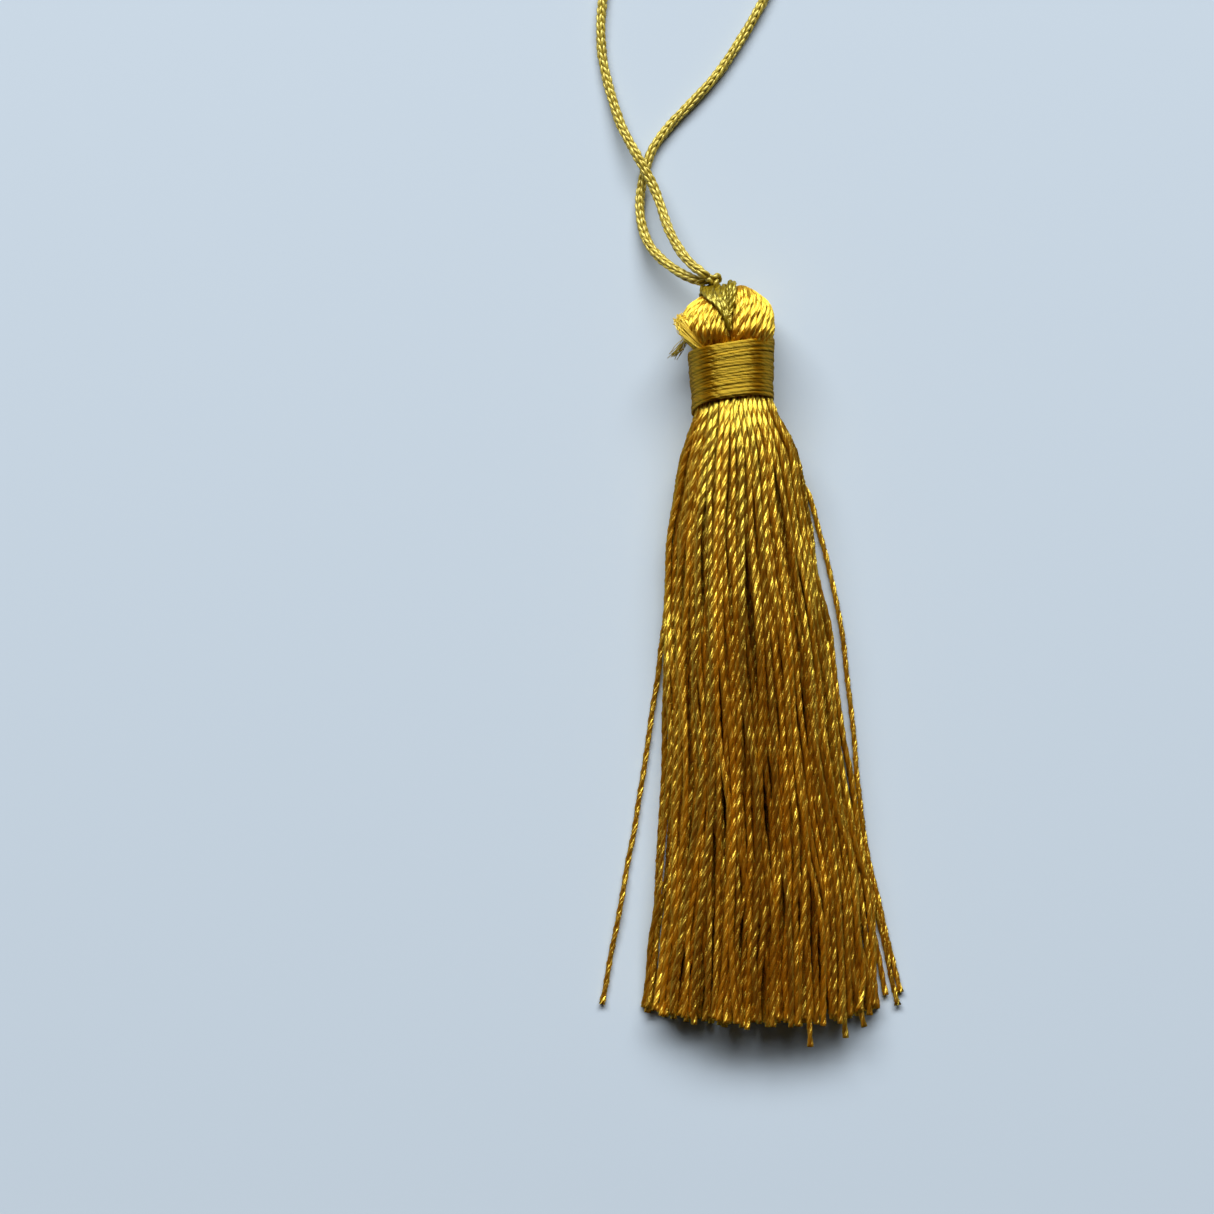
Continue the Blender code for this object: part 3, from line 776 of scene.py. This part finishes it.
def ribbons(lines, outward, half_widths, flat, sides, tone):
    """Flattened strands whose broad side faces outward."""
    tangents = unit(np.gradient(lines, axis=1))
    outward = unit(outward - (outward * tangents).sum(axis=2, keepdims=True) * tangents)
    sideways = np.cross(tangents, outward)
    around = 2 * math.pi * np.arange(sides) / sides
    reach = half_widths[:, :, None, None]
    points = (
        lines[:, :, None]
        + flat * reach * np.cos(around)[None, None, :, None] * outward[:, :, None]
        + reach * np.sin(around)[None, None, :, None] * sideways[:, :, None]
    )
    count, rings = lines.shape[:2]
    uvs = np.empty((count, rings, sides, 2))
    uvs[..., 0] = np.arange(sides) / sides
    uvs[..., 1] = lengths_along(lines)[:, :, None] / TEXTURE_LENGTH
    # Crest mask of the stitches: lower at their ends and sides, where the material paints shade as they tuck
    # under each other
    swell = half_widths / half_widths.max()
    thickness = STITCH_END_CREST + (1 - STITCH_END_CREST) * swell[:, :, None]
    crest = thickness * (STITCH_SIDE_CREST + (1 - STITCH_SIDE_CREST) * np.cos(around)[None, None])
    tone = np.broadcast_to(np.reshape(tone, (-1, 1, 1)), (count, rings, sides))
    flat_uvs = uvs.reshape(-1, 2)
    return Tubes(points.reshape(-1, 3), flat_uvs, flat_uvs, tone.ravel(), crest.ravel(), rings, sides, count)


def add_cord(material):
    chance = np.random.default_rng(CORD_SEED)
    line = cord_line()
    lines, outward, widths = stitches(line)
    tone = chance.uniform(0, 1, len(lines))
    legs = ribbons(lines, outward, widths, STITCH_FLATNESS, STITCH_SIDES, tone)
    heart = tubes(line[None], CORD_HEART, CORD_HEART_SIDES, [0.0])
    # The core seen between the stitches takes the deep tone and the groove colour all over, as painted shade
    heart.crest[:] = 0
    cord = add_tubes("knitted_cord", [heart, legs], material)
    settle_in(cord, "cord_silk", "hanging_cord")
    path = line[:: round(PATH_STEP / CORD_STEP)]
    path = np.vstack((path, line[-1:])) * MM


def add_knot(material):
    """A small overhand knot of the cord's own thread."""
    t = np.linspace(0, 2 * math.pi, KNOT_RINGS)
    line = np.column_stack((np.sin(t) + 2 * np.sin(2 * t), np.cos(t) - 2 * np.cos(2 * t), -np.sin(3 * t)))
    line = line * np.array(KNOT_SCALE) + np.array(KNOT_MIDDLE)
    made = tubes(
        line[None], KNOT_THREAD, KNOT_SIDES, [KNOT_TONE], pitch=[KNOT_PITCH], groove=THREAD_GROOVE
    )
    settle_in(add_tubes("overhand_knot", [made], material), "cord_silk", "cord_knot")


# Skirt

def section_at(y):
    """The skirt's section at any distance, between the named ones."""
    rows = SKIRT[::-1]
    ys = [section.y for section in rows]
    return SkirtSection(y, *(np.interp(y, ys, [row[k] for row in rows]) for k in range(1, 7)))


def middle_and_half(section):
    return (section.left + section.right) / 2, (section.right - section.left) / 2


def dome(section, across):
    """How round the section is at a share across it, and how high its middle lies there."""
    share = np.sqrt(np.clip(1 - across**2, 0, 1))
    return share, section.flat * share + (1 - section.flat)


def skirt_top(section, x):
    middle, half = middle_and_half(section)
    share, lift = dome(section, (x - middle) / half)
    return section.low + (section.high - section.low) / 2 * (share + lift)


def placed(section, layout):
    """Places in the section for a layout on the unit disc."""
    middle, half = middle_and_half(section)
    lift = dome(section, layout[:, 0])[1]
    height = section.low + (section.high - section.low) / 2 * (layout[:, 1] + lift)
    return np.column_stack((middle + half * layout[:, 0], height))


def spread(section, places):
    """The layout that placed would need for these places."""
    middle, half = middle_and_half(section)
    across = (places[:, 0] - middle) / half
    lift = dome(section, across)[1]
    return np.column_stack((across, 2 * (places[:, 1] - section.low) / (section.high - section.low) - lift))


def settled(section, places, passes):
    """Yarn centres pushed apart to about a yarn's width, within the outline and on the surface."""
    radius = section.yarn_radius
    for _ in range(passes):
        away = places[:, None] - places[None]
        distance = np.linalg.norm(away, axis=2) + np.eye(len(places)) * OWN_DISTANCE + 1e-6
        push = np.clip(YARN_SPACING * radius - distance, 0, None) / distance
        places = places + SETTLE_STEP * (away * push[:, :, None]).sum(axis=1)
        x = np.clip(places[:, 0], section.left + radius, section.right - radius)
        top = np.maximum(skirt_top(section, x) - radius, radius)
        places = np.column_stack((x, np.clip(places[:, 1], max(radius, section.low), top)))
    return places


def waves(chance, count, along, sizes):
    """Smooth sideways wander of each yarn: a sum of waves, each size given as (length, height)."""
    total = np.zeros((count, len(along)))
    for length, height in sizes:
        stretch = chance.uniform(0.75, 1.35, (count, 1))
        phase = chance.uniform(0, 2 * math.pi, (count, 1))
        total += height * np.sin(2 * math.pi * along[None] / (length * stretch) + phase)
    return total


def skirt_lines():
    """The centre line of every yarn, one point for each row."""
    chance = np.random.default_rng(SKIRT_SEED)
    number = np.arange(YARNS)
    reach = np.sqrt((number + 0.5) / YARNS)
    turn = number * GOLDEN_TURN
    layout = np.column_stack((reach * np.cos(turn), reach * np.sin(turn))) * ROOT_REACH
    upper = np.linspace(SKIRT[0].y, UPPER_ROWS_END, UPPER_ROWS)
    lower = np.linspace(LOWER_ROWS_START, SKIRT[-1].y, SKIRT_ROWS - UPPER_ROWS)
    ys = np.concatenate((upper, lower))
    down = SKIRT[0].y - ys
    sideways = waves(chance, YARNS, down, DRIFT_ACROSS)
    upwards = waves(chance, YARNS, down, DRIFT_UP)
    lines = np.zeros((YARNS, len(ys), 3))
    for row, y in enumerate(ys):
        section = section_at(y)
        if row:
            layout[:, 0] += sideways[:, row] - sideways[:, row - 1]
            layout[:, 1] += upwards[:, row] - upwards[:, row - 1]
        layout /= np.maximum(1, np.linalg.norm(layout, axis=1, keepdims=True))
        places = settled(section, placed(section, layout), SETTLE_PASSES if row else ROOT_PASSES)
        layout = spread(section, places)
        growing = min(down[row] / BUNCH_GROWS_OVER, 1)
        bunch = places[:, 0] / BUNCH_WIDTH + BUNCH_LEAN * down[row]
        sway = BUNCH_SWAY * np.sin(down[row] / BUNCH_SWAY_LENGTH)
        x = places[:, 0] + BUNCH_REACH * growing * np.sin(2 * math.pi * bunch + sway)
        lines[:, row] = np.column_stack((x, np.full(YARNS, y), places[:, 1]))
    return lines


def stray_numbers(lines):
    """The yarns that stray: for each route, the one that lies lowest and farthest out where it starts."""
    taken = []
    for stray in STRAYS:
        row = int(np.abs(lines[0, :, 1] - stray.route[0][1]).argmin())
        outward = stray.side * lines[:, row, 0] - STRAY_LOWNESS * lines[:, row, 2]
        outward[taken] = -np.inf
        taken.append(int(outward.argmax()))
    return taken


def lay_strays(lines, strays):
    for number, stray in zip(strays, STRAYS):
        xs, ys = np.array(stray.route[::-1]).T
        start_row = int(np.abs(lines[number, :, 1] - ys[-1]).argmin())
        start = lines[number, start_row].copy()
        for row in range(start_row + 1, lines.shape[1]):
            share = min((start[1] - lines[number, row, 1]) / (start[1] - ys[0]), 1.0)
            lines[number, row, 0] = np.interp(lines[number, row, 1], ys, xs)
            lines[number, row, 2] = max(start[2] * (1 - 2 * share), SKIRT[-1].yarn_radius)


def trim_ends(lines, strays):
    chance = np.random.default_rng(TRIM_SEED)
    middle, half = middle_and_half(SKIRT[-1])
    across = (lines[:, -1, 0] - middle) / half
    uneven = chance.uniform(-TRIM_UNEVEN, TRIM_UNEVEN, YARNS)
    lines[:, -1, 1] = TRIM_MIDDLE + TRIM_RISE * across**2 + uneven
    for number, stray in zip(strays, STRAYS):
        lines[number, -1, 1] = stray.route[-1][1]
    for end in LONG_ENDS:
        nearness = np.abs(lines[:, -1, 0] - end.x) - LONG_END_HEIGHT * lines[:, -1, 2]
        nearness[strays] = np.inf
        lines[int(nearness.argmin()), -1, 1] = end.tip_y


def add_skirt(material):
    lines = skirt_lines()
    strays = stray_numbers(lines)
    lay_strays(lines, strays)
    trim_ends(lines, strays)
    chance = np.random.default_rng(YARN_SEED)
    tone = chance.uniform(0, 1, YARNS)
    pitch = chance.uniform(*YARN_PITCH, YARNS)
    start = chance.uniform(0, 2 * math.pi, YARNS)
    width = chance.uniform(*YARN_WIDTH, YARNS)
    length = SKIRT[0].y - TRIM_MIDDLE
    order = np.argsort(lines[:, SKIRT_ROWS // 2, 2])
    for layer, members in zip(LAYERS, np.array_split(order, len(LAYERS))):
        rings = round(length / layer.step)
        fine = resampled(lines[members], rings)
        along = np.linspace(0, length, rings)
        growing = np.clip((along - BILLOW_START) / BILLOW_GROWS_OVER, 0, 1)
        fine[..., 0] += waves(chance, len(members), along, WANDER_ACROSS)
        fine[..., 2] += waves(chance, len(members), along, WANDER_UP)
        fine[..., 2] += growing * waves(chance, len(members), along, BILLOW)
        radii = np.interp(-fine[..., 1], [-s.y for s in SKIRT], [s.yarn_radius for s in SKIRT])
        flare = np.clip(1 - (along[-1] - along) / TIP_LENGTH, 0, 1)
        radii = radii * width[members, None] * (1 + TIP_FLARE * flare)
        fine[..., 2] = np.maximum(fine[..., 2], radii)
        made = tubes(
            fine, radii, layer.sides, tone[members],
            pitch=pitch[members], start=start[members], groove=YARN_GROOVE,
        )
        settle_in(add_tubes(layer.name, [made], material), "yarn_silk", "yarn_body")


# Head

def lobe_rings(levels, count, inset, rings):
    """Rings of a lobe, smoothly between its levels, as an array of rings, points around and x, y, z."""
    even = np.linspace(0, 2 * math.pi, LOBE_OUTLINE_POINTS)
    widest = max(levels, key=lambda level: abs(level.outer - level.inner))
    half = abs(widest.outer - widest.inner) / 2
    power = 2 / LOBE_SQUARENESS
    shape_x, shape_z = squared(even, power)
    outline = np.column_stack((half * shape_x, widest.half_height * shape_z))
    reach = np.concatenate(([0], np.cumsum(np.linalg.norm(np.diff(outline, axis=0), axis=1))))
    angles = np.interp(np.linspace(0, reach[-1], count, endpoint=False), reach, even)
    unit_x, unit_z = squared(angles, power)
    lines = []
    for across, up in zip(unit_x, unit_z):
        line = []
        for level in levels:
            middle, half = (level.inner + level.outer) / 2, abs(level.outer - level.inner) / 2
            shrunk = max(half - inset, LOBE_LEAST)
            side = math.copysign(1, level.outer)
            height = max(level.half_height - inset, LOBE_LEAST)
            line.append((middle + side * shrunk * across, level.y, HEAD_HEIGHT + height * up))
        line = np.array(line)
        line[:, 1] -= inset * np.interp(np.arange(len(line)), LOWERED_LEVELS, LOWERED_SHARES)
        lines.append(line)
    return resampled(np.array(lines), rings)


def add_head(yarn, heart):
    chance = np.random.default_rng(HEAD_SEED)
    for name, levels in (("left", LEFT_LOBE), ("right", RIGHT_LOBE)):
        lines = lobe_rings(levels, HEAD_YARNS, HEAD_YARN_RADIUS, HEAD_YARN_RINGS)
        lines[..., 2] = np.maximum(lines[..., 2], HEAD_YARN_RADIUS)
        along = lengths_along(lines)
        radii = HEAD_YARN_RADIUS * np.interp(along / along[:, -1:], HEAD_SWELL_AT, HEAD_SWELL)
        radii = radii * chance.uniform(*HEAD_YARN_WIDTH, (HEAD_YARNS, 1))
        tone = chance.uniform(*HEAD_YARN_TONE, HEAD_YARNS)
        pitch = chance.uniform(*HEAD_YARN_PITCH, HEAD_YARNS)
        start = chance.uniform(*TWIST_START, HEAD_YARNS)
        made = tubes(lines, radii, HEAD_YARN_SIDES, tone, pitch=pitch, start=start, groove=YARN_GROOVE)
        settle_in(add_tubes(name + "_head_yarns", [made], yarn), "yarn_silk", "yarn_body")
        # A dark core inside each lobe, seen between its yarns as painted shade
        inset = HEAD_YARN_RADIUS * HEAD_HEART_INSET
        inner = lobe_rings(levels, HEAD_HEART_SIDES, inset, HEAD_HEART_RINGS)
        inner[..., 2] = np.maximum(inner[..., 2], HEAD_YARN_RADIUS)
        settle_in(add_loft(name + "_head_shade_fill", inner.transpose(1, 0, 2), heart), "yarn_silk", "yarn_body")


def add_neck(material):
    """The yarns' way through the binding, which closes the cleft between the lobes."""
    chance = np.random.default_rng(NECK_SEED)
    number = np.arange(NECK_YARNS)
    reach = np.sqrt((number + 0.5) / NECK_YARNS)
    turn = number * GOLDEN_TURN
    x = NECK_MIDDLE[0] + NECK_REACH[0] * reach * np.cos(turn)
    z = NECK_MIDDLE[1] + NECK_REACH[1] * reach * np.sin(turn)
    top = NECK_TOP - NECK_DOME * reach**2 + chance.uniform(-NECK_UNEVEN, NECK_UNEVEN, NECK_YARNS)
    y = top[:, None] + (NECK_BOTTOM - top[:, None]) * np.linspace(0, 1, NECK_YARN_RINGS)
    lines = np.stack(np.broadcast_arrays(x[:, None], y, z[:, None]), axis=-1)
    tone = chance.uniform(*NECK_YARN_TONE, NECK_YARNS)
    pitch = chance.uniform(*HEAD_YARN_PITCH, NECK_YARNS)
    start = chance.uniform(*TWIST_START, NECK_YARNS)
    made = tubes(
        lines, HEAD_YARN_RADIUS, NECK_YARN_SIDES, tone, pitch=pitch, start=start, groove=YARN_GROOVE
    )
    settle_in(add_tubes("neck_yarns", [made], material), "yarn_silk", "yarn_body")


def head_trees():
    """The lobes' outer surfaces, to lay the tie on."""
    trees = []
    for levels in (LEFT_LOBE, RIGHT_LOBE):
        rings = lobe_rings(levels, LAID_ON_SIDES, 0.0, LAID_ON_RINGS).transpose(1, 0, 2)
        points = [Vector(p) for p in rings.reshape(-1, 3)]
        trees.append(BVHTree.FromPolygons(points, loft_faces(len(rings), rings.shape[1])))
    return trees


def tie_lines(trees, shares, lift):
    """Lines over the head from the front of the cleft to its back, each at a share of the tie's width."""
    first = TIE_EDGES[0].angle
    angles = np.linspace(first, 180 - first, TIE_ANGLES)
    known, lefts, rights = ([edge[k] for edge in TIE_EDGES] for k in range(3))
    lines = []
    for share in shares:
        reaches, xs = [], []
        for angle in angles:
            front = 180 - angle if angle > 90 else angle
            left = np.interp(front, known, lefts)
            right = np.interp(front, known, rights)
            x = left + (right - left) * share
            turn = math.radians(angle)
            direction = Vector((0, math.sin(turn), math.cos(turn)))
            found = [TIE_LEAST_REACH]
            for beside in (-TIE_CLEARS, 0.0, TIE_CLEARS):
                origin = Vector((x + beside, TIE_MIDDLE_Y, HEAD_HEIGHT)) + direction * RAY_START
                hits = [tree.ray_cast(origin, -direction) for tree in trees]
                found += [RAY_START - hit[3] for hit in hits if hit[0] is not None]
            reaches.append(max(found))
            xs.append(x)
        window = np.ones(2 * TIE_SMOOTH + 1) / (2 * TIE_SMOOTH + 1)
        smooth = np.convolve(np.pad(reaches, TIE_SMOOTH, mode="edge"), window, mode="valid")
        turn = np.radians(angles)
        reach = np.maximum(smooth, np.array(reaches) - TIE_SINK) + lift
        lines.append(
            np.column_stack((xs, TIE_MIDDLE_Y + reach * np.sin(turn), HEAD_HEIGHT + reach * np.cos(turn)))
        )
    return np.array(lines)


def add_tie(trees, material):
    chance = np.random.default_rng(TIE_SEED)
    lower = tie_lines(trees, np.linspace(*TIE_SPREAD, TIE_THREADS), TIE_LIFT)
    upper = tie_lines(trees, np.linspace(*UPPER_TIE_SPREAD, UPPER_TIE_THREADS), TIE_LIFT + UPPER_TIE_LIFT)
    lines = resampled(np.concatenate((lower, upper)), TIE_RINGS)
    lines[..., 2] = np.maximum(lines[..., 2], TIE_THREAD_RADIUS)
    count = len(lines)
    radii = TIE_THREAD_RADIUS * chance.uniform(*TIE_THREAD_WIDTH, (count, 1))
    tone = chance.uniform(0, 1, count)
    pitch = chance.uniform(*TIE_THREAD_PITCH, count)
    start = chance.uniform(*TWIST_START, count)
    made = tubes(lines, radii, TIE_SIDES, tone, pitch=pitch, start=start, groove=THREAD_GROOVE)
    settle_in(add_tubes("tie_threads", [made], material), "tie_silk", "crown_tie")


# Neck binding

def binding_point(share, angle, inset, slope):
    """A point of the binding, share of the way down it, an angle round it and an inset under its outside."""
    radius = BINDING_RADIUS_TOP + (BINDING_RADIUS_BOTTOM - BINDING_RADIUS_TOP) * share
    across, upward = squared(angle, BINDING_SQUARENESS)
    x = BINDING_SHIFT * (1 - share) + (radius - inset) * across
    z = np.maximum(radius - BINDING_FLAT + (radius - inset) * upward, inset)
    rise = BINDING_RISE_TOP + (BINDING_RISE_BOTTOM - BINDING_RISE_TOP) * share
    y = BINDING_TOP + (BINDING_BOTTOM - BINDING_TOP) * share + slope * x + rise * (z - CORE_HEIGHT)
    return np.stack(np.broadcast_arrays(x, y, z), axis=-1)


def binding_slope(share):
    return BINDING_LEAN_TOP + (BINDING_LEAN_BOTTOM - BINDING_LEAN_TOP) * share


def add_binding(material, heart):
    chance = np.random.default_rng(BINDING_SEED)
    around = 2 * math.pi * BINDING_RADIUS_BOTTOM
    per_turn = round(around / BINDING_STEP)
    fine = np.linspace(0, 2 * math.pi, 4 * per_turn) - math.pi / 2
    way = np.linspace(0, around, len(fine))
    pitch = BINDING_SPREAD / (BINDING_TURNS - 1)
    turns, tones = [], []
    for k in range(BINDING_TURNS + LAST_TURNS):
        share = BINDING_FIRST + BINDING_SPREAD * k / (BINDING_TURNS - 1)
        lean, lift = 0.0, 0.0
        last = k - BINDING_TURNS
        if last >= 0:
            share = LAST_TURNS_START - LAST_TURNS_STEP * last
            lean, lift = LAST_TURNS_LEAN * (1 - last), LAST_TURNS_LIFT
        wander = waves(chance, 1, way, BINDING_WANDER)[0]
        swell = waves(chance, 1, way, BINDING_SWELL)[0]
        slope = binding_slope(share) + chance.normal(0, BINDING_LEAN_SCATTER) + lean
        along = share + pitch * (fine / (2 * math.pi)) + wander
        inset = BINDING_THREAD * BINDING_FLATNESS - swell - lift
        turns.append(binding_point(along, fine, inset, slope))
        tones.append(chance.uniform(0, 1))
    turns = resampled(turns, per_turn)
    radii = BINDING_THREAD * chance.uniform(*BINDING_THREAD_WIDTH, (len(turns), 1))
    start = chance.uniform(*TWIST_START, len(turns))
    made = tubes(
        turns, radii, BINDING_SIDES, tones,
        pitch=BINDING_PITCH, start=start, groove=BINDING_GROOVE, flat=BINDING_FLATNESS,
    )
    settle_in(add_tubes("binding_thread", [made], material), "thread_silk", "neck_binding")
    # A dark core under the turns, seen between them as painted shade
    angles = np.linspace(0, 2 * math.pi, BINDING_HEART_SIDES, endpoint=False)
    rings = [
        binding_point(share, angles, BINDING_HEART_INSET, binding_slope(share))
        for share in np.linspace(*BINDING_HEART_SPAN, BINDING_HEART_RINGS)
    ]
    settle_in(add_loft("binding_shade_fill", rings, heart), "thread_silk", "neck_binding")


# Frayed fibres

def add_fray(yarn, fibre, pale):
    """The loosened yarn beside the left lobe, its open end, and the fine wisp below it."""
    chance = np.random.default_rng(FRAY_SEED)
    route = np.array(FRAY_ROUTE)
    line = resampled(route[None], FRAY_RINGS)
    radii = np.linspace(*FRAY_RADII, FRAY_RINGS)[None]
    made = tubes(line, radii, FRAY_SIDES, [FRAY_TONE], pitch=[FRAY_PITCH], groove=FRAY_GROOVE)
    settle_in(add_tubes("frayed_yarn", [made], yarn), "yarn_silk", "yarn_body")
    tips = np.array(FRAY_TIPS)
    fibres = []
    for _ in range(FRAY_FIBRES):
        weights = chance.dirichlet((1.0, 1.0, 1.0))
        tip = weights @ tips + chance.normal(0, FRAY_TIP_SCATTER, 3)
        aside = chance.normal(0, FRAY_ASIDE, 3)
        bundle = [point + aside * swell for point, swell in zip(route, FRAY_SPREAD)]
        tip = bundle[-1] + (tip - bundle[-1]) * chance.uniform(*FRAY_SHARE)
        middle = (bundle[-1] + tip) / 2 + chance.normal(0, FRAY_BEND, 3)
        fibres.append((*bundle, middle, tip))
    tone = chance.uniform(0, 1, FRAY_FIBRES)
    made = tubes(resampled(fibres, FIBRE_RINGS), FIBRE_RADIUS, FIBRE_SIDES, tone)
    settle_in(add_tubes("frayed_end", [made], fibre), "yarn_silk", "yarn_body")
    fibres = []
    for _ in range(WISP_FIBRES):
        root = np.array(WISP_ROOT) + chance.normal(0, WISP_ROOT_SCATTER, 3)
        tip = np.array(WISP_TIP) + chance.normal(0, WISP_TIP_SCATTER, 3)
        fibres.append((root, (root + tip) / 2 + chance.normal(0, WISP_BEND, 3), tip))
    tone = chance.uniform(0, 1, WISP_FIBRES)
    made = tubes(resampled(fibres, WISP_RINGS), FIBRE_RADIUS * WISP_THINNESS, FIBRE_SIDES, tone)
    settle_in(add_tubes("fine_wisp", [made], pale), "thread_silk", "yarn_body")


# Surroundings

def add_floor():
    mesh = bpy.data.meshes.new("floor")
    half = FLOOR_HALF
    corners = [(-half, -half, 0), (half, -half, 0), (half, half, 0), (-half, half, 0)]
    mesh.from_pydata(corners, [], [(0, 1, 2, 3)])
    material = bpy.data.materials.new("pale_surface")
    material.use_nodes = True
    shader = material.node_tree.nodes["Principled BSDF"]
    shader.inputs["Base Color"].default_value = FLOOR_COLOUR
    shader.inputs["Roughness"].default_value = FLOOR_ROUGHNESS
    shader.inputs["Specular IOR Level"].default_value = FLOOR_SPECULAR
    mesh.materials.append(material)
    floor = linked("floor", mesh)


def add_area_light(light):
    lamp = bpy.data.lights.new(light.name, "AREA")
    lamp.shape = "RECTANGLE"
    lamp.size, lamp.size_y = light.size
    lamp.energy = light.watts
    lamp.color = LIGHT_COLOUR
    holder = linked(light.name, lamp)
    holder.location = light.place
    aim = Vector(LIGHT_TARGET) - Vector(light.place)
    holder.rotation_euler = aim.to_track_quat("-Z", "Y").to_euler()


def add_lights():
    world = bpy.data.worlds.new("soft_room")
    bpy.context.scene.world = world
    world.use_nodes = True
    background = world.node_tree.nodes["Background"]
    background.inputs["Color"].default_value = ROOM_COLOUR
    background.inputs["Strength"].default_value = ROOM_STRENGTH
    for light in LIGHTS:
        add_area_light(light)


def main():
    add_camera()
    yarn = silk("yarn_silk", YARN_LOOK)
    thread = silk("thread_silk", THREAD_LOOK)
    tie = silk("tie_silk", TIE_LOOK)
    cord = silk("cord_silk", CORD_LOOK)
    heart = silk("shade_fill_silk", SHADE_FILL_LOOK)
    add_cord(cord)
    add_knot(cord)
    add_skirt(yarn)
    add_head(yarn, heart)
    add_neck(yarn)
    add_tie(head_trees(), tie)
    add_binding(thread, heart)
    add_fray(yarn, silk("fibre_silk", FIBRE_LOOK), cord)
    add_floor()
    add_lights()
    bpy.context.scene.view_settings.view_transform = "Standard"


main()
